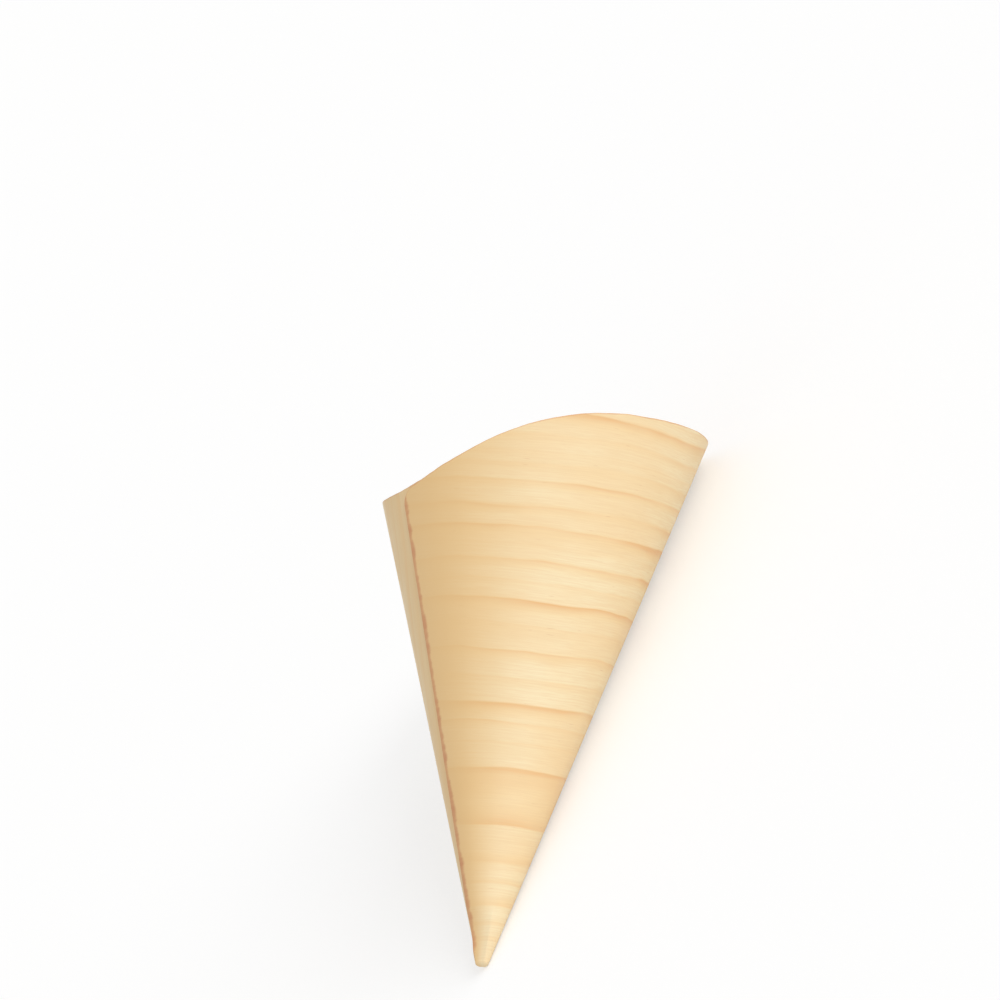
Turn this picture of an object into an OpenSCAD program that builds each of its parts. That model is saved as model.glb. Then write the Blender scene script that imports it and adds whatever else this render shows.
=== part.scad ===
// Wooden food cone: one sheet of straight-grained veneer, cut to a curved fan, rolled to a
// pointed cone and glued where its two straight edges lap.
// The cone lies on its long side: tip towards -Y, slanted mouth towards +Y, lap on top.
// Roll is the angle in degrees that the sheet has turned, from its hidden edge at 0 to its
// free edge at one full turn and a lap. Slant is the distance from the apex along the sheet.

/* [Cone] */
// Length along the axis, from the blunt tip to the peak of the rim
cone_h = 180; // [140:1:240]
// Length along the axis, from the blunt tip to the low lip of the rim
lip_h = 138; // [100:1:170]
// Width across the mouth, outside
mouth_w = 95; // [70:1:130]
// Width across the blunt tip, outside
tip_w = 2.8; // [2.4:0.1:5]
// Length of the rounded end of the tip
tip_round = 1.5; // [1:0.1:3]
// How pointed the peak of the rim is, 0 for a plain slanted ring
peak_point = 0.1; // [0:0.01:0.14]

/* [Veneer] */
// Thickness of the sheet
veneer_t = 0.6; // [0.4:0.05:0.7]

/* [Lap] */
// Width of the glued lap at the low lip
lap_w = 17; // [10:1:30]
// Angle from the low lip to the free edge of the sheet
seam_turn = 4; // [-20:1:20]
// Radius of the rounded corner where the free edge meets the rim
corner_r = 5; // [3:0.5:9]
// How far the free corner sits below the rim of the layer under it
corner_drop = 1; // [0.2:0.1:3]
// How far the straight edges of the flat sheet pass beside its apex
edge_miss = 0.8; // [0.2:0.1:1.1]

/* [Rest] */
// Angle of the flat strip along the long side, on which the cone lies
rest_flat = 5; // [3:1:9]

/* [Hidden] */

// Widest angle of one facet round the cone, and rows of facets from tip to rim
facet = 4;
rows = 8;
lap_cols = 12;
cap_rows = 3;

// The reference cone is the inner face of the hidden edge; the sheet climbs by one thickness a turn
mid_h = (cone_h + lip_h)/2;
half = atan((mouth_w - tip_w)/2/mid_h);
apex_gap = (tip_w/2 - 1.5*veneer_t/cos(half))/tan(half);
first_s = (tip_round + apex_gap)/cos(half);
mid_s = (mid_h + apex_gap)/cos(half);
lip_per_deg = PI/180*(lip_h*tan(half) + tip_w/2);
lap_deg = lap_w/lip_per_deg;
end_roll = 360 + lap_deg;
peak_roll = end_roll - 180 - seam_turn;

// Rolls of the columns: fine steps over the lap, even steps to each side of the resting strip
function steps(from, to) = let (n = ceil((to - from)/facet)) [for (k = [1 : n]) from + (to - from)*k/n];
lap_rolls = [for (k = [0 : lap_cols]) lap_deg*sin(90*k/lap_cols)];
rest_rolls = [peak_roll - rest_flat/2, peak_roll + rest_flat/2];
one_turn = concat(lap_rolls, steps(lap_deg, rest_rolls[0]), [rest_rolls[1]], steps(rest_rolls[1], 360));
rolls = concat(one_turn, [for (k = [1 : lap_cols]) 360 + lap_rolls[k]]);
turn = len(one_turn) - 1;
last = len(rolls) - 1;

// The straight edges miss the apex, so they curl round the cone near the tip; the resting strip stays true
function row_s(i, end_s) = first_s*pow(end_s/first_s, i/rows);
edge_curl = [for (i = [0 : rows]) asin(edge_miss/row_s(i, mid_s))/sin(half)];
function azimuth(roll, i) = let (a = roll - peak_roll) a + edge_curl[i]*(1 - cos(a))/2;

// Rim: height along the axis falls from the peak to the low lip on both sides
function rim_h(a) = mid_h + (cone_h - lip_h)/2*((1 - peak_point)*cos(a) + peak_point*cos(3*a));
function rim_s(roll) = (rim_h(azimuth(roll, rows)) + apex_gap)/cos(half);

// The free corner: a small drop that grows over the lap, and an arc into the free edge
function corner_cut(x) = x < corner_r ? corner_r - sqrt(pow(corner_r, 2) - pow(corner_r - x, 2)) : 0;
function flap_drop(roll) = corner_drop*(roll - 360)/lap_deg + corner_cut((end_roll - roll)*lip_per_deg);
function lap_rim_s(k) = rim_s(rolls[k]) - flap_drop(rolls[k] + 360);
function out_rim_s(j) = j <= lap_cols ? lap_rim_s(j) : j > turn ? lap_rim_s(j - turn) : rim_s(rolls[j]);

// A point of the rolled sheet; side 0 is its inner face and 1 its outer face
function at_slant(a, s, depth) = let (r = s*sin(half) + depth*cos(half))
    [r*sin(a), r*cos(a), s*cos(half) - apex_gap - depth*sin(half)];
function sheet_point(j, i, side, end_s) =
    at_slant(azimuth(rolls[j], i), row_s(i, end_s), (rolls[j]/360 + side)*veneer_t);

// The tip is rolled shut and ends in a small dome
function dome_point(p, turn_up) = [p[0]*cos(turn_up), p[1]*cos(turn_up), p[2]*(1 - sin(turn_up))];
hollow_end = [0, 0, first_s*cos(half) - apex_gap - veneer_t/2];

inner_points = [for (j = [0 : turn - 1]) for (i = [0 : rows]) sheet_point(j, i, 0, rim_s(rolls[j]))];
outer_points = [for (j = [0 : last]) for (i = [0 : rows]) sheet_point(j, i, 1, out_rim_s(j))];
under_points = [for (k = [1 : lap_cols]) sheet_point(k, rows, 1, rim_s(rolls[k]))];
dome_points = [for (j = [lap_cols : last]) for (d = [1 : cap_rows - 1])
    dome_point(sheet_point(j, 0, 1, out_rim_s(j)), 90*d/cap_rows)];
upright = concat(inner_points, outer_points, under_points, dome_points, [hollow_end, [0, 0, 0]]);

// Laid on its long side, centred over the origin and down on the floor
lying = [for (p = upright) [p[0], p[1]*sin(half) + p[2]*cos(half), p[2]*sin(half) - p[1]*cos(half)]];
function middle(axis) = let (v = [for (p = lying) p[axis]]) (min(v) + max(v))/2;
floor_h = min([for (p = lying) p[2]]);
cone_points = [for (p = lying) p - [middle(0), middle(1), floor_h]];

// Places in the list of points
outer_start = len(inner_points);
under_start = outer_start + len(outer_points);
dome_start = under_start + len(under_points);
hollow_pole = dome_start + len(dome_points);
tip_pole = hollow_pole + 1;
function outer_at(j, i) = outer_start + j*(rows + 1) + i;
function inner_at(j, i) = j < turn ? j*(rows + 1) + i : outer_at(j - turn, i);
function under_at(j) = j == 0 || j > lap_cols ? outer_at(j, rows) : under_start + j - 1;
function dome_at(j, d) = d == 0 ? outer_at(j, 0) : dome_start + (j - lap_cols)*(cap_rows - 1) + d - 1;

function quad(a, b, c, d) = [[a, b, c], [a, c, d]];
function strip(lower, upper) = [for (k = [0 : len(lower) - 2])
    each quad(lower[k], lower[k + 1], upper[k + 1], upper[k])];
function fan(pole, ring) = [for (k = [0 : len(ring) - 2]) [pole, ring[k], ring[k + 1]]];
function flipped(list) = [for (f = list) [f[0], f[2], f[1]]];

// The outer face runs from the free edge once round to where it slips under that edge
outer_faces = [for (i = [0 : rows - 1]) each strip(
    [for (j = [lap_cols : last]) outer_at(j, i)], [for (j = [lap_cols : last]) outer_at(j, i + 1)])];
under_corner = [[outer_at(lap_cols, rows), outer_at(lap_cols + 1, rows), under_at(lap_cols)]];
dome_faces = [for (d = [0 : cap_rows - 2]) each strip(
    [for (j = [lap_cols : last]) dome_at(j, d + 1)], [for (j = [lap_cols : last]) dome_at(j, d)])];
dome_end = fan(tip_pole, [for (j = [last : -1 : lap_cols]) dome_at(j, cap_rows - 1)]);

// The inner face runs once round from the hidden edge
inner_faces = [for (i = [0 : rows - 1]) each strip(
    [for (j = [0 : turn]) inner_at(j, i)], [for (j = [0 : turn]) inner_at(j, i + 1)])];
hollow_faces = fan(hollow_pole, [for (j = [0 : turn]) inner_at(j, 0)]);

// Cut edges of the sheet: the rim of each layer, the ledge at the free corner and the two straight edges
under_rim = strip([for (j = [0 : turn]) under_at(j)], [for (j = [0 : turn]) inner_at(j, rows)]);
flap_rim = strip([for (j = [turn : last]) outer_at(j, rows)], [for (j = [turn : last]) inner_at(j, rows)]);
ledge = strip([for (k = [1 : lap_cols]) outer_at(k, rows)], [for (k = [1 : lap_cols]) under_at(k)]);
ledge_start = [[outer_at(0, rows), outer_at(1, rows), under_at(1)]];
hidden_edge = strip([for (i = [0 : rows]) inner_at(turn, i)], [for (i = [0 : rows]) inner_at(0, i)]);
hidden_end = [[hollow_pole, inner_at(turn, 0), inner_at(0, 0)]];
free_edge = strip([for (i = [0 : rows]) outer_at(lap_cols, i)], [for (i = [0 : rows]) outer_at(last, i)]);
dome_edge = strip([for (d = [cap_rows - 1 : -1 : 0]) dome_at(lap_cols, d)],
    [for (d = [cap_rows - 1 : -1 : 0]) dome_at(last, d)]);
dome_edge_end = [[tip_pole, dome_at(lap_cols, cap_rows - 1), dome_at(last, cap_rows - 1)]];

module veneer_cone() {
    color([0.93, 0.80, 0.62])
    polyhedron(points = cone_points, faces = concat(
        outer_faces, under_corner, dome_faces, dome_end, flipped(inner_faces), hollow_faces,
        under_rim, flap_rim, ledge, ledge_start, hidden_edge, hidden_end,
        free_edge, dome_edge, dome_edge_end), convexity = 6);
}

veneer_cone();
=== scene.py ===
# %% [markdown]
# # Wooden food cone
# One sheet of straight-grained veneer, thinner than a millimetre, is cut to a curved fan, rolled to a
# cone and glued along its lap. In this lesson the sheet is made as its maker makes it: the blank is
# cut flat, gets its thickness, and is then rolled, so that the grain on the cone is the grain of the
# flat sheet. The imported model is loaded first, because it says where the cone is and how big it is.

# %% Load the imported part
from math import asin, atan, atan2, cos, degrees, pi, radians, sin, tan

import bpy
import numpy as np
from mathutils import Matrix, Vector, noise


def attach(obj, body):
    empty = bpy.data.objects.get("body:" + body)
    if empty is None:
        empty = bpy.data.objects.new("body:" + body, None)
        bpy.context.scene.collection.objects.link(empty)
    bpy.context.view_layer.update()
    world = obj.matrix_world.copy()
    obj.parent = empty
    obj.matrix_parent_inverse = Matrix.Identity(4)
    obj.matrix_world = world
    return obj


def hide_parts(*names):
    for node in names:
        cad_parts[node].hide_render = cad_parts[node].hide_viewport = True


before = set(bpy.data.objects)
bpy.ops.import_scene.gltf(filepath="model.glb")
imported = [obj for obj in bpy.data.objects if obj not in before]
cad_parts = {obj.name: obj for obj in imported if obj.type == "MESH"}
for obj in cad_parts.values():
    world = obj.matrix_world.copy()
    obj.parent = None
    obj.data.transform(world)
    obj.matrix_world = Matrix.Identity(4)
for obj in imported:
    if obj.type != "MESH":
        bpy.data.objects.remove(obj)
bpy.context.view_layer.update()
bpy.ops.object.select_all(action="DESELECT")

# %% [markdown]
# ## The cone's measures
# The cone lies on its long side, tip towards -Y, as it comes to rest on a table. These measures are
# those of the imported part, in millimetres and degrees. Two words come back all through the lesson.
# Roll is the angle that the sheet has turned, from its hidden edge at 0 to its free edge at one full
# turn and a lap. Slant is the distance from the apex along the sheet. The reference cone is the inner
# face of the hidden edge, and the sheet climbs outwards by one thickness with each full turn. At the
# tip its outer face lies about one and a half layers out from there.

# %% Measures of the cone
MM = 0.001
CONE_H = 180.0
LIP_H = 138.0
MOUTH_W = 95.0
TIP_W = 2.8
TIP_ROUND = 1.5
TIP_LAYERS = 1.5
PEAK_POINT = 0.1
SHEET_T = 0.6
LAP_W = 17.0
SEAM_TURN = 4.0
CORNER_R = 5.0
CORNER_DROP = 1.0
EDGE_MISS = 0.8
TIP_AT = Vector((-0.138, -93.68, 1.38))

MID_H = (CONE_H + LIP_H) / 2
HALF = atan((MOUTH_W - TIP_W) / 2 / MID_H)
APEX_GAP = (TIP_W / 2 - TIP_LAYERS * SHEET_T / cos(HALF)) / tan(HALF)
FIRST_S = (TIP_ROUND + APEX_GAP) / cos(HALF)
LIP_PER_DEG = pi / 180 * (LIP_H * tan(HALF) + TIP_W / 2)
LAP_DEG = LAP_W / LIP_PER_DEG
END_ROLL = 360 + LAP_DEG
PEAK_ROLL = END_ROLL - 180 - SEAM_TURN
FAN_PER_ROLL = sin(HALF)
FAN_ANGLE = radians(END_ROLL * FAN_PER_ROLL)
print("half angle", round(degrees(HALF), 2), "fan of", round(degrees(FAN_ANGLE), 1), "degrees")

# %% [markdown]
# ## The camera
# The photograph looks at the cone's side with the tip nearest, through a long lens. A camera can be
# aimed by hand until the picture fits. Here its place is worked out from the cone itself, so it stays
# right: how far the axis leans away from it, how far the picture is rolled, which side of the cone
# faces it, and where the tip stands in the picture. A cone can't stand on its tip, so this one lies
# down and the camera looks down on it, turned round the cone's axis until it is well above the floor.

# %% Directions of the picture
LEAN = radians(28.0)
PICTURE_ROLL = radians(5.8)
PEAK_TURN = radians(-33.0)

AXIS = Vector((0, cos(HALF), sin(HALF)))


def sideways(angle):
    """Unit vector square to the axis; at angle 0 it points to the peak of the rim."""
    return Vector((sin(angle), cos(angle) * sin(HALF), -cos(angle) * cos(HALF)))


level_right = sideways(-PEAK_TURN)
to_camera = sideways(pi / 2 - PEAK_TURN)
level_down = -cos(LEAN) * AXIS - sin(LEAN) * to_camera
ahead = sin(LEAN) * AXIS - cos(LEAN) * to_camera
right = cos(PICTURE_ROLL) * level_right - sin(PICTURE_ROLL) * level_down
down = sin(PICTURE_ROLL) * level_right + cos(PICTURE_ROLL) * level_down
print("the camera looks down at", round(degrees(asin(-ahead.z)), 1), "degrees")

# %% Place the camera
LENS = 162.0
SENSOR = 36.0
PIXELS = 1000
TIP_PIXEL = (482.0, 967.0)
TIP_DISTANCE = 1.257
SEES_TO = 50.0

focal = LENS / SENSOR * PIXELS
tip_right = (TIP_PIXEL[0] - PIXELS / 2) / focal
tip_down = (TIP_PIXEL[1] - PIXELS / 2) / focal
camera_at = TIP_AT * MM - TIP_DISTANCE * (tip_right * right + tip_down * down + ahead)

camera = bpy.data.objects.new("camera", bpy.data.cameras.new("camera"))
bpy.context.scene.collection.objects.link(camera)
bpy.context.scene.camera = camera
camera.data.lens = LENS
camera.data.sensor_width = SENSOR
camera.data.clip_end = SEES_TO
turn = Matrix((right, -down, -ahead)).transposed()
camera.matrix_world = Matrix.Translation(camera_at) @ turn.to_4x4()
print("camera height in mm:", round(camera_at.z * 1000))

# %% [markdown]
# ## Floor and light
# A plain floor keeps the soft shadow of the cone. Stronger lamps could make it white, but then the
# pale wood would lose its colour. So part of the floor's brightness is its own glow, which the camera
# sees straight on, in glossy reflections and through clear things. The wood isn't lit by it in any
# other way, so it gets the light that a pale floor throws back. A few small functions keep the
# writing of nodes short, here and later.

# %% Helpers that add nodes
def add(tree, kind, inputs=(), **settings):
    """Adds a node, sets what it is given and joins the sockets that it is given."""
    made = tree.nodes.new(kind)
    for name, value in settings.items():
        setattr(made, name, value)
    for name, value in dict(inputs).items():
        if isinstance(value, bpy.types.NodeSocket):
            tree.links.new(value, made.inputs[name])
        else:
            made.inputs[name].default_value = value
    return made


def calc(tree, operation, *values):
    """A math node's result."""
    return add(tree, "ShaderNodeMath", dict(enumerate(values)), operation=operation).outputs[0]


def blend(tree, factor, first, second):
    """Two colours mixed by a factor."""
    made = add(tree, "ShaderNodeMix", data_type="RGBA")
    for name, value in (("Factor", factor), ("A", first), ("B", second)):
        socket = next(s for s in made.inputs if s.name == name and s.enabled)
        if isinstance(value, bpy.types.NodeSocket):
            tree.links.new(value, socket)
        else:
            socket.default_value = value
    return next(s for s in made.outputs if s.enabled)


print("node helpers:", [helper.__name__ for helper in (add, calc, blend)])

# %% Floor
FLOOR_SIZE = 30
FLOOR_SEEN = (0.62, 0.62, 0.62, 1)
FLOOR_BOUNCE = (0.92, 0.91, 0.89, 1)
FLOOR_GLOW = 0.47

bpy.ops.mesh.primitive_plane_add(size=FLOOR_SIZE, location=(0, 0, 0))
floor = bpy.context.object
floor.name = "floor"

floor_paint = bpy.data.materials.new("pale floor")
floor_paint.use_nodes = True
floor_tree = floor_paint.node_tree
floor_tree.nodes.clear()
rays = add(floor_tree, "ShaderNodeLightPath").outputs
seen = rays["Is Camera Ray"]
for ray in ("Is Glossy Ray", "Is Transmission Ray"):
    seen = calc(floor_tree, "MAXIMUM", seen, rays[ray])
floor_colour = blend(floor_tree, seen, FLOOR_BOUNCE, FLOOR_SEEN)
glow_level = calc(floor_tree, "MULTIPLY", seen, FLOOR_GLOW)
matt = add(floor_tree, "ShaderNodeBsdfDiffuse", {"Color": floor_colour}).outputs["BSDF"]
glow = add(floor_tree, "ShaderNodeEmission", {"Strength": glow_level}).outputs["Emission"]
both = add(floor_tree, "ShaderNodeAddShader", {0: matt, 1: glow}).outputs["Shader"]
add(floor_tree, "ShaderNodeOutputMaterial", {"Surface": both})
floor.data.materials.append(floor_paint)
print("floor of", FLOOR_SIZE, "m with", len(floor_tree.nodes), "nodes")

# %% [markdown]
# The light of the photograph comes from the right of the camera and is very even. One wide soft lamp
# stands there, a weaker one further round lights the cone's right side, and the world fills in the
# rest. Area lamps could do it too, but they light near things more than far ones, and suns light the
# whole cone alike. Together they stay just below the level where the palest wood would lose its
# colour.

# %% Lamps and world
LAMP_WHITE = (1.0, 0.99, 0.97)
WORLD_LEVEL = 0.66
camera_side = atan2(-ahead.y, -ahead.x)


def add_lamp(name, around, above, level, spread):
    """A far soft lamp, at an angle to the right of the camera and an angle above the floor."""
    lamp = bpy.data.objects.new(name, bpy.data.lights.new(name, "SUN"))
    bpy.context.scene.collection.objects.link(lamp)
    side = camera_side + radians(around)
    rise = radians(above)
    towards = Vector((cos(side) * cos(rise), sin(side) * cos(rise), sin(rise)))
    lamp.rotation_euler = towards.to_track_quat("Z", "Y").to_euler()
    lamp.data.energy = level * pi
    lamp.data.angle = radians(spread)
    lamp.data.color = LAMP_WHITE
    print(name, "from", [round(x, 2) for x in towards])


add_lamp("key lamp", around=48, above=27, level=0.29, spread=30)
add_lamp("side lamp", around=88, above=14, level=0.20, spread=50)

world = bpy.data.worlds.new("studio")
bpy.context.scene.world = world
world.use_nodes = True
world.node_tree.nodes["Background"].inputs["Color"].default_value = (1, 1, 1, 1)
world.node_tree.nodes["Background"].inputs["Strength"].default_value = WORLD_LEVEL
bpy.context.scene.view_settings.view_transform = "Standard"

# %% [markdown]
# ## The flat blank
# The real blank is a curved fan punched from a flat sheet. It could be cut from a plane with bisect,
# but its rim is a curve that no cutting operator follows. So a grid gives an even sheet, and each of
# its points is then moved to its place in the fan. The rim falls from the peak to the low lip, and a
# little more over the flap, whose free corner is rounded.

# %% Shape of the rim
def rim_height(azimuth):
    """Height of the rim along the axis, at an angle from the peak."""
    swing = (1 - PEAK_POINT) * np.cos(azimuth) + PEAK_POINT * np.cos(3 * azimuth)
    return MID_H + (CONE_H - LIP_H) / 2 * swing


def azimuth_of(roll, slant):
    """Angle round the axis of a place on the sheet; the straight edges curl round near the tip."""
    plain = np.radians(roll - PEAK_ROLL)
    curl = np.arcsin(EDGE_MISS / np.maximum(slant, FIRST_S)) / sin(HALF)
    return plain + curl * (1 - np.cos(plain)) / 2


def corner_cut(along):
    """How much the rounded corner takes off, at a distance from the free edge."""
    inside = np.clip(CORNER_R - along, 0, CORNER_R)
    return CORNER_R - np.sqrt(CORNER_R**2 - inside**2)


def rim_slant(roll):
    """Distance from the apex to the rim, for each column of the sheet."""
    under = np.where(roll > 360, roll - 360, roll)
    plain = (rim_height(azimuth_of(under, MID_H)) + APEX_GAP) / cos(HALF)
    over = CORNER_DROP * (roll - 360) / LAP_DEG + corner_cut((END_ROLL - roll) * LIP_PER_DEG)
    return plain - np.where(roll > 360, over, 0)


print("slant of the peak in mm:", rim_slant(np.array([PEAK_ROLL])).round(1))

# %% [markdown]
# The grid's columns stand closer together at the free edge, where the corner is rounded, and its rows
# at the rim, so that the cut edges can be eased. The rim and the free edge are a little ragged, as
# torn fibres leave them. A modifier could shake the points at random, but torn wood changes smoothly,
# so each edge is set in a little and gets two waves of smooth noise, a short one and a long one.

# %% Columns of the blank and its ragged rim
FLAP_COLS = 40
TURN_COLS = 252
EASE_COLS = [0, 0.05, 0.12, 0.3, 0.7, 1.4]
RIM_INSIDE = 0.2
RIM_WAVES = [(0.07, 2.6, 3.1), (0.16, 11.0, 5.7)]


def ragged(places, waves):
    """Noise along a line, from waves that are each given as a depth, a length and a seed."""
    return sum(
        depth * np.array([noise.noise((x / length, seed, 0.5 * seed)) for x in places])
        for depth, length, seed in waves
    )


start_rolls = np.array(EASE_COLS) / LIP_PER_DEG
turn_rolls = np.linspace(start_rolls[-1], 360, TURN_COLS + 1)[1:]
flap_rolls = 360 + LAP_DEG * np.sin(np.linspace(0, pi / 2, FLAP_COLS + 1))[1:]
col_rolls = np.concatenate([start_rolls, turn_rolls, flap_rolls])
rim_line = rim_slant(col_rolls) - RIM_INSIDE + ragged(col_rolls, RIM_WAVES)
COLS = len(col_rolls) - 1
print("columns:", COLS, "rim from", rim_line.min().round(1), "to", rim_line.max().round(1), "mm")

# %% Rows of the blank
PIN_S = 1.0
DOME_ROWS = 7
BODY_ROWS = 132
BODY_SPREADING = 0.25
RIM_ROWS = [1.6, 0.9, 0.45, 0.2, 0.1, 0.04, 0]
ROWS = DOME_ROWS + BODY_ROWS + len(RIM_ROWS) - 1


def row_slants(rim):
    """Slants of all rows in one column: dome, body and the close rows at the rim."""
    dome = np.linspace(PIN_S, FIRST_S, DOME_ROWS + 1)
    share = np.linspace(0, 1, BODY_ROWS + 1)[1:]
    share = BODY_SPREADING * share**2 + (1 - BODY_SPREADING) * share
    body = FIRST_S + (rim - RIM_ROWS[0] - FIRST_S) * share
    return np.concatenate([dome, body, rim - np.array(RIM_ROWS[1:])])


slants = np.stack([row_slants(rim) for rim in rim_line])
print("grid of", COLS, "by", ROWS)

# %% Cut the blank
EDGE_INSIDE = 0.10
EDGE_WAVES = [(0.10, 1.3, 8.3), (0.06, 5.0, 9.1)]
RAGGED_FROM = 30.0
LEAST_RAGGED = 0.2
RAGGED_REACH = 1.5

bpy.ops.mesh.primitive_grid_add(x_subdivisions=COLS, y_subdivisions=ROWS, size=1)
cone = bpy.context.object
cone.name = "rolled_veneer"


def points_of(mesh):
    """All points of a mesh as an array."""
    flat = np.empty(3 * len(mesh.vertices))
    mesh.vertices.foreach_get("co", flat)
    return flat.reshape(-1, 3)


def put_points(mesh, points):
    """Moves all points of a mesh to the places in an array."""
    mesh.vertices.foreach_set("co", points.ravel())
    mesh.update()


grid = points_of(cone.data)
col = np.rint((grid[:, 0] + 0.5) * COLS).astype(int)
row = np.rint((grid[:, 1] + 0.5) * ROWS).astype(int)
fan_angle = np.radians((END_ROLL - col_rolls[col]) * FAN_PER_ROLL)
slant = slants[col, row]
free_gap = slant * np.sin(np.minimum(fan_angle, pi / 2))
edge_slants = slants[-1]
ragged_edge = EDGE_INSIDE + ragged(edge_slants, EDGE_WAVES)
ragged_edge *= np.clip(edge_slants / RAGGED_FROM, LEAST_RAGGED, 1)
across = slant * np.cos(fan_angle)
along = slant * np.sin(fan_angle) + ragged_edge[row] * np.exp(-free_gap / RAGGED_REACH)
put_points(cone.data, np.stack([across, -along, 0 * across], 1) * MM)
print("blank in mm:", np.ptp(across).round(1), "by", np.ptp(along).round(1))

# %% [markdown]
# The sheet gets its thickness from Solidify, half to each side. Extruding the faces would do the
# same, but Solidify keeps one even thickness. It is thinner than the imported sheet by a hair, so that
# the two layers of the lap don't cut into each other where they are glued.

# %% Give the blank its thickness
GLUE_GAP = 0.02

thicken = cone.modifiers.new("thickness", "SOLIDIFY")
thicken.thickness = (SHEET_T - GLUE_GAP) * MM
thicken.offset = 0
bpy.ops.object.modifier_apply(modifier=thicken.name)
print("sheet has", len(cone.data.polygons), "faces")

# %% [markdown]
# ## What the sheet remembers
# Before it is rolled, the blank gets what its finish needs. A UV map holds the flat sheet in metres,
# so that the grain runs straight through the sheet. Unwrapping the rolled cone could only guess at
# that flat sheet. Two attributes hold the distances to the rim and to the free edge, where the wood
# is browned. Near the tip the second one is kept a little longer, so that the stain thins out there.

# %% Flat map of the sheet
flat = points_of(cone.data) / MM
across = flat[:, 0]
along = -flat[:, 1]

flat_map = cone.data.uv_layers.new(name="flat_sheet")
corners = np.empty(len(cone.data.loops), int)
cone.data.loops.foreach_get("vertex_index", corners)
flat_map.uv.foreach_set("vector", (np.stack([across, along], 1)[corners] * MM).ravel())
print("flat map has", len(corners), "corners")

# %% Distances to the edges
FAR = 99.0
STAIN_THINS_BELOW = 16.0
STAIN_THINNING = 0.12

slant = np.hypot(across, along)
roll = END_ROLL - np.degrees(np.arctan2(along, across)) / FAN_PER_ROLL
rim_here = np.interp(roll, col_rolls, rim_line)
rim_gap = rim_here - slant
free_gap = np.where(roll > 180, along, FAR)
stained_gap = free_gap + STAIN_THINNING * np.clip(STAIN_THINS_BELOW - slant, 0, STAIN_THINS_BELOW)
for name, gap in (("to_rim", rim_gap), ("to_free_edge", stained_gap)):
    distance = cone.data.attributes.new(name, "FLOAT", "POINT")
    distance.data.foreach_set("value", gap * MM)
    print(name, "up to", gap.max().round(1), "mm")

# %% [markdown]
# Each kind of face gets its material slot while the sheet is still flat. They could be picked on the
# rolled cone, but here the normals alone tell them apart: the outer face looks up, the inner face
# looks down, and the rest are cut edges.

# %% Slots of the faces
OUTER, INNER, CUT = 0, 1, 2
CLEARLY = 0.5

normals = np.empty(3 * len(cone.data.polygons))
cone.data.polygons.foreach_get("normal", normals)
facing = normals.reshape(-1, 3)[:, 2]
slot_of = np.where(facing > CLEARLY, OUTER, np.where(facing < -CLEARLY, INNER, CUT))
cone.data.polygons.foreach_set("material_index", slot_of)
print("faces in each slot:", np.bincount(slot_of))

# %% [markdown]
# ## Rolling the cone
# Each point of the flat sheet now goes to its place on the cone. Its distance from the apex stays,
# and its angle in the fan becomes an angle round the axis, so nothing is stretched. A Simple Deform
# modifier can bend a strip to a tube, but not a fan to a cone, so the rolling is worked out for each
# point. First the sheet gets what isn't even in it. Within about a tenth of a millimetre of the cut
# edges the faces draw together, which eases the edges, and the dry veneer waves slightly. It only
# sags to the inside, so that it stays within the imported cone.

# %% Ease the edges and let the sheet wave
EASE = 0.12
LEAST_SAG = 0.05
SAG = 0.22
SAG_FULL_AT = 150.0
MOST_SAG = 1.2
SAG_WAVES = [(1.0, 1.6, 0.0, 160.0), (0.45, 4.5, 7.0, 120.0)]

hidden_gap = roll * LIP_PER_DEG * slant / rim_here
edge_gap = np.minimum(np.minimum(free_gap, rim_gap), hidden_gap)
inside = np.clip(EASE - edge_gap, 0, EASE)
eased = 1 - (EASE - np.sqrt(EASE**2 - inside**2)) / (SHEET_T / 2)

azimuth = azimuth_of(roll, slant)


def sheet_noise(size, start, length):
    """Smooth noise round the cone and along it, for each point of the sheet."""
    return np.array([
        noise.noise((size * cos(a), size * sin(a), start + s / length))
        for a, s in zip(azimuth, slant)
    ])


wave = sum(share * sheet_noise(size, start, length) for share, size, start, length in SAG_WAVES)
sag = LEAST_SAG + SAG * np.clip(slant / SAG_FULL_AT, 0, MOST_SAG) * (1 + wave)
print("sag from", sag.min().round(2), "to", sag.max().round(2), "mm")

# %% [markdown]
# The last two centimetres are pinched to two flats, as fingers do that shut the tip. Each flat is the
# round wall cut down to a chord, with softened borders. A lattice could squeeze the tip as well, but
# it would press on all of it. At the lap the glued flap lifts by a hair at its free edge, and so the
# seam gets its thin shadow.

# %% Pinch the tip and lift the flap
PINCH_BELOW = 20.0
PINCH_LENGTH = 13.0
PINCH_HALF = radians(50)
PINCHED = (radians(158), radians(290))
SOFT_BORDER = 0.03
LIFT = 0.30
LIFT_REACH = 9.0
LIFT_FULL_AT = 150.0
LEAST_LIFT = 0.05

tip_share = np.clip((PINCH_BELOW - slant) / PINCH_LENGTH, 0, 1)
tip_share = tip_share**2 * (3 - 2 * tip_share)
tip_radius = np.maximum(slant, FIRST_S) * sin(HALF) + SHEET_T
pinch = 0 * slant
for facet in PINCHED:
    off = (azimuth - facet + pi) % (2 * pi) - pi
    flat_cut = 1 - cos(PINCH_HALF) / np.cos(np.clip(off, -PINCH_HALF, PINCH_HALF))
    pinch += tip_share * tip_radius * flat_cut**2 / (flat_cut + SOFT_BORDER)

near_edge = np.clip(1 - free_gap / LIFT_REACH, 0, 1) ** 2
lift = near_edge * np.clip(slant / LIFT_FULL_AT, LEAST_LIFT, 1) * LIFT
layer = roll / 360 * SHEET_T + SHEET_T / 2 + flat[:, 2] * eased - sag + lift
depth = layer - pinch
print("pinched by up to", pinch.max().round(2), "mm, lifted by up to", lift.max().round(2))

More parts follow.
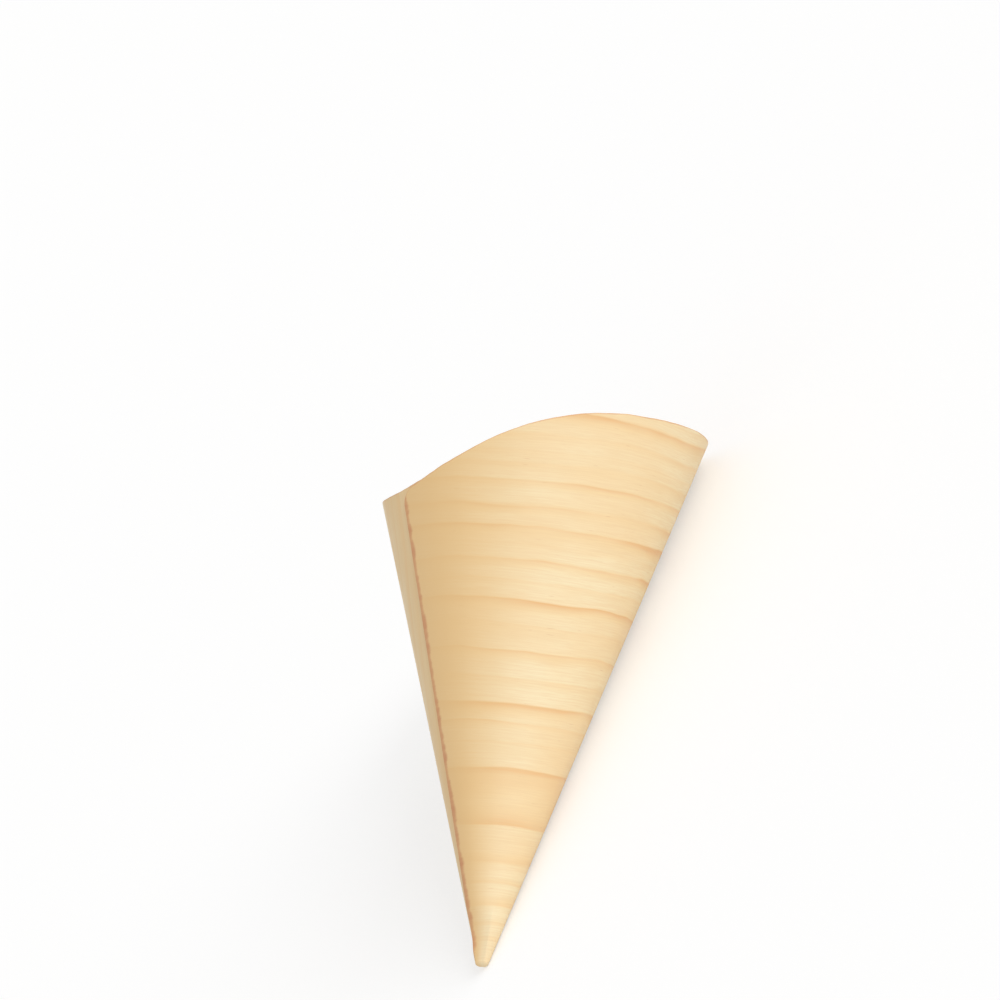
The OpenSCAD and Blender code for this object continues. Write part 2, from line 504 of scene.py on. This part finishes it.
# %% [markdown]
# At the very end each layer curls in over the layer under it and all are pressed thin, so the tip
# closes to a small dome with a faint spiral in it. A separate cap would be simpler to make, but a
# rolled sheet has none. The cone is worked out upright, and then laid on its long side.

# %% Roll the sheet and lay the cone down
TIP_PRESSED = 0.25
POLE_CURL = radians(89.95)
OFF_FLOOR = 0.01
SMOOTH_BELOW = radians(32)

cone_s = np.maximum(slant, FIRST_S)
curl_in = POLE_CURL * np.clip((FIRST_S - slant) / (FIRST_S - PIN_S), 0, 1)
pole = TIP_PRESSED * ((END_ROLL / 360 + 1) * SHEET_T - layer)
radius = (cone_s * sin(HALF) + depth * cos(HALF)) * np.cos(curl_in)
height = cone_s * cos(HALF) - APEX_GAP - depth * sin(HALF)
height = pole + (height - pole) * (1 - np.sin(curl_in))

side = radius * np.sin(azimuth)
front = radius * np.cos(azimuth)
lying = np.stack([
    side,
    front * sin(HALF) + height * cos(HALF),
    height * sin(HALF) - front * cos(HALF),
], 1) + np.array(TIP_AT)
lying[:, 2] = np.maximum(lying[:, 2], OFF_FLOOR)
put_points(cone.data, lying * MM)
bpy.ops.object.shade_smooth_by_angle(angle=SMOOTH_BELOW)
print("rolled, box in mm:", lying.min(0).round(2), lying.max(0).round(2))

# %% [markdown]
# ## The finish of the veneer
# Pale softwood, sliced so that its growth rings show as bands across the sheet. Each band starts
# pale, deepens slowly and ends in a sharp warm line, then the next starts pale again. Fine fibres
# run along the bands. A wave texture could draw rings too, but all alike, so the rings of this sheet
# are written down one by one. All of it is worked out from the flat map, in node groups that the
# outer and the inner face share.

# %% Helpers for values, noise and groups
def ramp(tree, value, low, high, to_low=0.0, to_high=1.0):
    """A value carried smoothly from one range to another, and held at its ends."""
    ends = {"Value": value, "From Min": low, "From Max": high, "To Min": to_low, "To Max": to_high}
    return add(tree, "ShaderNodeMapRange", ends, interpolation_type="SMOOTHSTEP").outputs["Result"]


def speckle(tree, place, scales, detail, seed, rough=0.5):
    """Noise from 0 to 1, stretched by its own scale across the grain and along it."""
    x, y = (calc(tree, "MULTIPLY", value, scale) for value, scale in zip(place, scales))
    vector = add(tree, "ShaderNodeCombineXYZ", {"X": x, "Y": y, "Z": seed}).outputs["Vector"]
    settings = {"Vector": vector, "Scale": 1.0, "Detail": detail, "Roughness": rough}
    return add(tree, "ShaderNodeTexNoise", settings).outputs["Fac"]


def swing(tree, value, width):
    """A value from 0 to 1, turned to one that swings over a width to both sides of zero."""
    return calc(tree, "MULTIPLY_ADD", value, width, -width / 2)


VECTOR = "NodeSocketVector"
VALUE = "NodeSocketFloat"
COLOUR = "NodeSocketColor"


def new_group(name, takes, gives):
    """An empty node group with named inputs and outputs, and the sockets inside it."""
    group = bpy.data.node_groups.new(name, "ShaderNodeTree")
    for way, sockets in (("INPUT", takes), ("OUTPUT", gives)):
        for socket, kind in sockets.items():
            group.interface.new_socket(socket, in_out=way, socket_type=kind)
    given = group.nodes.new("NodeGroupInput").outputs
    result = group.nodes.new("NodeGroupOutput").inputs
    return group, given, result


print("more helpers:", [helper.__name__ for helper in (ramp, speckle, swing, new_group)])

# %% [markdown]
# The rings are written down as a tone line: pairs of a distance across the grain, in millimetres,
# and a tone from 0, pale early wood, to 1, the warm line of the late wood. Towards the mouth the
# rings deepen slowly and end sharply at their upper side. Near the tip the cut crosses the same
# rings the other way, so there they are sharp at their lower side, with a wide warm zone between.

# %% The tone line of the rings
TONES = [
    (-8, 0.1), (-2.0, 0.45), (-1.6, 0.1), (2.0, 0.1), (3.9, 0.3), (4.3, 0.1), (7.5, 0.1), (9.3, 0.4),
    (9.7, 0.1), (12.5, 0.1), (13.3, 0.5), (15.0, 0.15), (18.2, 0.1), (18.6, 0.65), (21.5, 0.2),
    (24.6, 0.12), (25.0, 0.6), (26.5, 0.2), (30.0, 0.15), (31.0, 0.7), (32.0, 0.65), (34.0, 0.12),
    (40.6, 0.08), (41.1, 1.0), (43.0, 0.8), (49.0, 0.66), (55.0, 0.6), (56.6, 0.85), (57.2, 0.2),
    (59.0, 0.1), (63.0, 0.2), (64.0, 0.5), (64.5, 0.15), (68.0, 0.2), (70.0, 0.75), (70.4, 0.15),
    (73.0, 0.45), (75.6, 0.9), (76.1, 0.12), (80.0, 0.15), (83.4, 0.5), (83.9, 0.1), (88.0, 0.15),
    (91.5, 0.8), (92.0, 0.1), (95.0, 0.1), (99.0, 0.45), (99.5, 0.1), (103.0, 0.3), (106.3, 0.9),
    (106.8, 0.12), (109.0, 0.1), (112.0, 0.4), (112.5, 0.1), (115.0, 0.2), (118.0, 0.85),
    (118.8, 0.15), (121.5, 0.1), (123.0, 0.35), (124.0, 0.25), (128.0, 1.0), (128.6, 0.1),
    (131.0, 0.15), (133.8, 0.75), (135.0, 0.15), (138.5, 0.1), (141.2, 0.8), (141.8, 0.1),
    (144.0, 0.3), (146.2, 0.55), (147.2, 0.12), (149.5, 0.35), (150.5, 0.1), (152.5, 0.3),
    (154.2, 0.6), (155.2, 0.15), (157.5, 0.3), (160.6, 0.95), (161.6, 0.12), (164.5, 0.4),
    (165.3, 0.1), (168.0, 0.2), (171.2, 0.75), (171.8, 0.1), (175.0, 0.15), (177.4, 0.5),
    (178.0, 0.1), (181.0, 0.2), (184.2, 0.85), (184.8, 0.15), (188.0, 0.1), (190.0, 0.4), (194.0, 0.1),
]
STOPS_IN_RAMP = 30


def tone_line(tree, place):
    """The tone at a distance across the grain, read from as many colour ramps as the line needs."""
    total = None
    for first in range(0, len(TONES) - 1, STOPS_IN_RAMP - 1):
        section = TONES[first : first + STOPS_IN_RAMP]
        low, high = section[0][0], section[-1][0]
        share = add(tree, "ShaderNodeMapRange", {"Value": place, "From Min": low, "From Max": high})
        made = add(tree, "ShaderNodeValToRGB", {"Fac": share.outputs["Result"]})
        stops = made.color_ramp.elements
        while len(stops) < len(section):
            stops.new(0.5)
        for stop, (distance, tone) in zip(stops, section):
            stop.position = (distance - low) / (high - low)
            stop.color = (tone, tone, tone, 1)
        grey = add(tree, "ShaderNodeRGBToBW", {"Color": made.outputs["Color"]}).outputs["Val"]
        inside = calc(tree, "COMPARE", place, (low + high) / 2, (high - low) / 2)
        part = calc(tree, "MULTIPLY", grey, inside)
        total = part if total is None else calc(tree, "MAXIMUM", total, part)
    return total


print("rings:", sum(tone > 0.3 for _, tone in TONES))

# %% [markdown]
# The first group turns the flat map to the way of the grain, lets the rings drift and wobble, and
# reads the tone line there. It gives the tone of the rings, a broad patchiness, the fibres, rare
# short flecks, the silkiness that moves the gloss, and the relief, in which fibres stand up and late
# wood lies deeper. An image could hold the same grain, but it would blur in a close look.

# %% Growth rings and fibres, as a node group
GRAIN_TURN = radians(16.0)
DRIFT = 9.0
WOBBLE = 1.8
FAINTEST_RING = 0.62
BOLDEST_RING = 1.08
FINE_SHARE = 0.4
RING_DEPTH = 0.25

grain_gives = dict.fromkeys(("Ring", "Patch", "Fibre", "Fleck", "Silk", "Relief"), VALUE)
grain, given, result = new_group("veneer grain", {"Flat": VECTOR}, grain_gives)
to_turn = {"Vector": given["Flat"], "Angle": -GRAIN_TURN}
turned = add(grain, "ShaderNodeVectorRotate", to_turn, rotation_type="Z_AXIS").outputs["Vector"]
turned = add(grain, "ShaderNodeSeparateXYZ", {"Vector": turned}).outputs
across_mm = calc(grain, "MULTIPLY", turned["X"], 1 / MM)
along_mm = calc(grain, "MULTIPLY", turned["Y"], 1 / MM)

drift = speckle(grain, (across_mm, along_mm), scales=(0.010, 0.014), detail=1.0, seed=4.0)
drawn_mm = calc(grain, "ADD", across_mm, swing(grain, drift, DRIFT))
on_grain = (drawn_mm, along_mm)
wobble = speckle(grain, on_grain, scales=(0.16, 0.05), detail=2.0, seed=9.0)
vigour = speckle(grain, on_grain, scales=(0.10, 0.022), detail=2.0, seed=15.0)
vigour = ramp(grain, vigour, low=0.3, high=0.7, to_low=FAINTEST_RING, to_high=BOLDEST_RING)
ring_tone = tone_line(grain, calc(grain, "ADD", drawn_mm, swing(grain, wobble, WOBBLE)))
ring = calc(grain, "MULTIPLY", ring_tone, vigour)

coarse = speckle(grain, on_grain, scales=(2.0, 0.05), detail=3.0, seed=1.0, rough=0.65)
fine = speckle(grain, on_grain, scales=(7.0, 0.2), detail=2.0, seed=5.0)
fibre = calc(grain, "MULTIPLY_ADD", fine, FINE_SHARE, calc(grain, "MULTIPLY", coarse, 1 - FINE_SHARE))
fleck = speckle(grain, on_grain, scales=(1.7, 0.20), detail=1.0, seed=17.0)
grain_values = {
    "Ring": ring,
    "Patch": speckle(grain, on_grain, scales=(0.045, 0.020), detail=3.0, seed=12.0),
    "Fibre": fibre,
    "Fleck": ramp(grain, fleck, low=0.70, high=0.80),
    "Silk": speckle(grain, on_grain, scales=(0.10, 0.05), detail=2.0, seed=23.0),
    "Relief": calc(grain, "MULTIPLY_ADD", ring, -RING_DEPTH, fibre),
}
for name, value in grain_values.items():
    grain.links.new(value, result[name])
print("grain group has", len(grain.nodes), "nodes")

# %% [markdown]
# The second group turns these values to colours, from the palest early wood to the warm line at the
# end of each ring. One colour ramp could do it, but then patches, fibres and flecks couldn't each
# have a colour of their own. The colours are written as they look on screen.

# %% Colours of the wood, as a node group
def paint(code):
    """A colour as it is written on screen, turned to the linear values that nodes use."""
    parts = [int(code[k : k + 2], 16) / 255 for k in (1, 3, 5)]
    linear = [p / 12.92 if p <= 0.04045 else ((p + 0.055) / 1.055) ** 2.4 for p in parts]
    return (*linear, 1.0)


PALE = paint("#fcecc6")
PEACH = paint("#f9dbaa")
WARM_LINE = paint("#edb97f")
WARM_PATCH = paint("#f9ddaf")
FIBRE_SHADE = paint("#f1d1a1")
FLECK = paint("#dcae80")
FLECK_SHARE = 0.30

wood_takes = dict.fromkeys(("Ring", "Patch", "Fibre", "Fleck"), VALUE)
wood, given, result = new_group("veneer colours", wood_takes, {"Colour": COLOUR})
patchy = ramp(wood, given["Patch"], low=0.38, high=0.68, to_high=0.75)
deepening = ramp(wood, given["Ring"], low=0.0, high=0.6, to_high=0.9)
late = ramp(wood, given["Ring"], low=0.45, high=1.0, to_high=0.9)
between_fibres = ramp(wood, given["Fibre"], low=0.62, high=0.38, to_high=0.45)
colour = blend(wood, patchy, PALE, WARM_PATCH)
colour = blend(wood, deepening, colour, PEACH)
colour = blend(wood, late, colour, WARM_LINE)
colour = blend(wood, between_fibres, colour, FIBRE_SHADE)
colour = blend(wood, calc(wood, "MULTIPLY", given["Fleck"], FLECK_SHARE), colour, FLECK)
wood.links.new(colour, result["Colour"])
print("colour group has", len(wood.nodes), "nodes")

# %% [markdown]
# The third group paints the lap side warmer and darker. That is painted shade in part, for the side
# of the cone that turns from the light, and in part the mark of the hot iron that dries the glue. It
# covers both layers of the lap, in a zone that narrows to the tip as the lap does. A zone of even
# width would make the tip too warm, so it is measured as an angle in the fan.

# %% Painted lap shade and iron mark, as a node group
# The lap colour below is partly painted shade, for the side that turns from the light, and partly the
# iron's mark.
LAP_SHADE_AND_IRON = paint("#f1c98d")
LAP_SHADE_NEAR = 0.06
LAP_SHADE_FAR = 0.42
UNDER_NEAR = 0.1
LAP_SHADE_ABOVE = 0.85
LAP_SHADE_UNDER = 0.6

lap_shading, given, result = new_group("ironed lap", {"Colour": COLOUR, "Flat": VECTOR}, {"Colour": COLOUR})
flat_parts = add(lap_shading, "ShaderNodeSeparateXYZ", {"Vector": given["Flat"]}).outputs
lap_angle = calc(lap_shading, "ARCTAN2", flat_parts["Y"], flat_parts["X"])
above = ramp(lap_shading, lap_angle, LAP_SHADE_NEAR, LAP_SHADE_FAR, to_low=LAP_SHADE_ABOVE, to_high=0.0)
under = ramp(lap_shading, lap_angle, FAN_ANGLE - LAP_SHADE_FAR, FAN_ANGLE - UNDER_NEAR, to_high=LAP_SHADE_UNDER)
colour = blend(lap_shading, calc(lap_shading, "MAXIMUM", above, under), given["Colour"], LAP_SHADE_AND_IRON)
lap_shading.links.new(colour, result["Colour"])
print("ironing group has", len(lap_shading.nodes), "nodes")

# %% [markdown]
# The fourth group browns the edges. Glue and iron do that along the free edge, and the knife a little
# along the rim. The stain creeps along the fibres, so its border is uneven. A painted mask could hold
# it, but the distances that the sheet remembers keep it on the edge.

# %% Browned edges, as a node group
BROWNED = paint("#d6946a")
CREEP_SCALES = (180.0, 70.0, 1.0)
LEAST_REACH = 1.1
CREEP_REACH = 0.7
FAINTEST_STAIN = 0.65
FULL_UNTIL = 0.5
GONE_AT = 1.05
STAINED_EDGES = [("To free edge", 1.3, 1.0), ("To rim", 0.3, 0.6)]

stain_takes = {"Colour": COLOUR, "Flat": VECTOR, "Stain": VALUE, "To free edge": VALUE, "To rim": VALUE}
staining, given, result = new_group("browned edges", stain_takes, {"Colour": COLOUR})
to_scale = {0: given["Flat"], 1: CREEP_SCALES}
creep = add(staining, "ShaderNodeVectorMath", to_scale, operation="MULTIPLY").outputs["Vector"]
settings = {"Vector": creep, "Scale": 1.0, "Detail": 4.0, "Roughness": 0.6}
soaked = ramp(staining, add(staining, "ShaderNodeTexNoise", settings).outputs["Fac"], 0.34, 0.66)
uneven = calc(staining, "MULTIPLY_ADD", soaked, 1 - FAINTEST_STAIN, FAINTEST_STAIN)
colour = given["Colour"]
for edge, reach, share in STAINED_EDGES:
    gap_mm = calc(staining, "MULTIPLY", given[edge], 1 / MM)
    crept = calc(staining, "MULTIPLY_ADD", soaked, CREEP_REACH * reach, LEAST_REACH * reach)
    strongest = calc(staining, "MULTIPLY", given["Stain"], share)
    share_of_reach = calc(staining, "DIVIDE", gap_mm, crept)
    stained = ramp(staining, share_of_reach, FULL_UNTIL, GONE_AT, to_low=strongest, to_high=0.0)
    colour = blend(staining, calc(staining, "MULTIPLY", stained, uneven), colour, BROWNED)
staining.links.new(colour, result["Colour"])
print("stain group has", len(staining.nodes), "nodes")

# %% [markdown]
# Each face of the sheet has a material of its own that puts the groups in a row. The outer face is
# the smooth side, and the inner face is a little rougher, duller and less stained. One material
# could serve both, but then they couldn't have their own values.

# %% Wood of the two faces
SILK_SWING = 0.07


def veneer(name, dull, relief, edge_stain):
    """The wood of one face of the sheet."""
    made = bpy.data.materials.new(name)
    made.use_nodes = True
    tree = made.node_tree
    shader = tree.nodes["Principled BSDF"].inputs
    flat_uv = add(tree, "ShaderNodeUVMap", uv_map="flat_sheet").outputs["UV"]
    to_free_edge = add(tree, "ShaderNodeAttribute", attribute_name="to_free_edge").outputs["Fac"]
    to_rim = add(tree, "ShaderNodeAttribute", attribute_name="to_rim").outputs["Fac"]

    looks = add(tree, "ShaderNodeGroup", {"Flat": flat_uv}, node_tree=grain).outputs
    takes = {tone: looks[tone] for tone in wood_takes}
    plain = add(tree, "ShaderNodeGroup", takes, node_tree=wood).outputs["Colour"]
    # The lap group paints shade along the lap side, and partly the iron's mark.
    takes = {"Colour": plain, "Flat": flat_uv}
    shade_and_iron = add(tree, "ShaderNodeGroup", takes, node_tree=lap_shading).outputs["Colour"]
    edges = {"To free edge": to_free_edge, "To rim": to_rim}
    takes = {"Colour": shade_and_iron, "Flat": flat_uv, "Stain": edge_stain, **edges}
    browned = add(tree, "ShaderNodeGroup", takes, node_tree=staining).outputs["Colour"]
    tree.links.new(browned, shader["Base Color"])

    gloss = ramp(tree, looks["Silk"], 0.3, 0.7, dull - SILK_SWING, dull + SILK_SWING)
    tree.links.new(gloss, shader["Roughness"])
    shader["Specular IOR Level"].default_value = 0.35
    bump = {"Height": looks["Relief"], "Strength": 1.0, "Distance": relief * MM}
    tree.links.new(add(tree, "ShaderNodeBump", bump).outputs["Normal"], shader["Normal"])
    return made


cone.data.materials.append(veneer("veneer outer face", dull=0.50, relief=0.010, edge_stain=0.85))
cone.data.materials.append(veneer("veneer inner face", dull=0.62, relief=0.018, edge_stain=0.3))
print("materials:", [m.name for m in cone.data.materials])

# %% [markdown]
# The cut edges show the ends of the fibres, so they are darker, matt and rough. The flat map has no
# width across the thickness, so their pattern can't follow it and is one in space instead.

# %% Wood of the cut edges
END_GRAIN = paint("#e6bb8c")
SCORCHED = paint("#cf996a")


def cut_edge(name, relief):
    """Browned, ragged wood of the cut edges."""
    made = bpy.data.materials.new(name)
    made.use_nodes = True
    tree = made.node_tree
    shader = tree.nodes["Principled BSDF"].inputs
    place = add(tree, "ShaderNodeTexCoord").outputs["Object"]
    close = {"Vector": place, "Scale": 900.0, "Detail": 3.0}
    wide = {"Vector": place, "Scale": 90.0, "Detail": 2.0}
    streak = add(tree, "ShaderNodeTexNoise", close).outputs["Fac"]
    broad = add(tree, "ShaderNodeTexNoise", wide).outputs["Fac"]
    colour = blend(tree, ramp(tree, streak, low=0.35, high=0.65), BROWNED, END_GRAIN)
    colour = blend(tree, ramp(tree, broad, low=0.4, high=0.7, to_high=0.5), colour, SCORCHED)
    tree.links.new(colour, shader["Base Color"])
    shader["Roughness"].default_value = 0.75
    shader["Specular IOR Level"].default_value = 0.2
    bump = {"Height": streak, "Strength": 1.0, "Distance": relief * MM}
    tree.links.new(add(tree, "ShaderNodeBump", bump).outputs["Normal"], shader["Normal"])
    return made


cone.data.materials.append(cut_edge("veneer cut edge", relief=0.05))
print("materials:", [m.name for m in cone.data.materials])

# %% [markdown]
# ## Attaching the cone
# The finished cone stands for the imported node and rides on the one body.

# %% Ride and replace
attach(cone, "root")
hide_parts("veneer_cone")
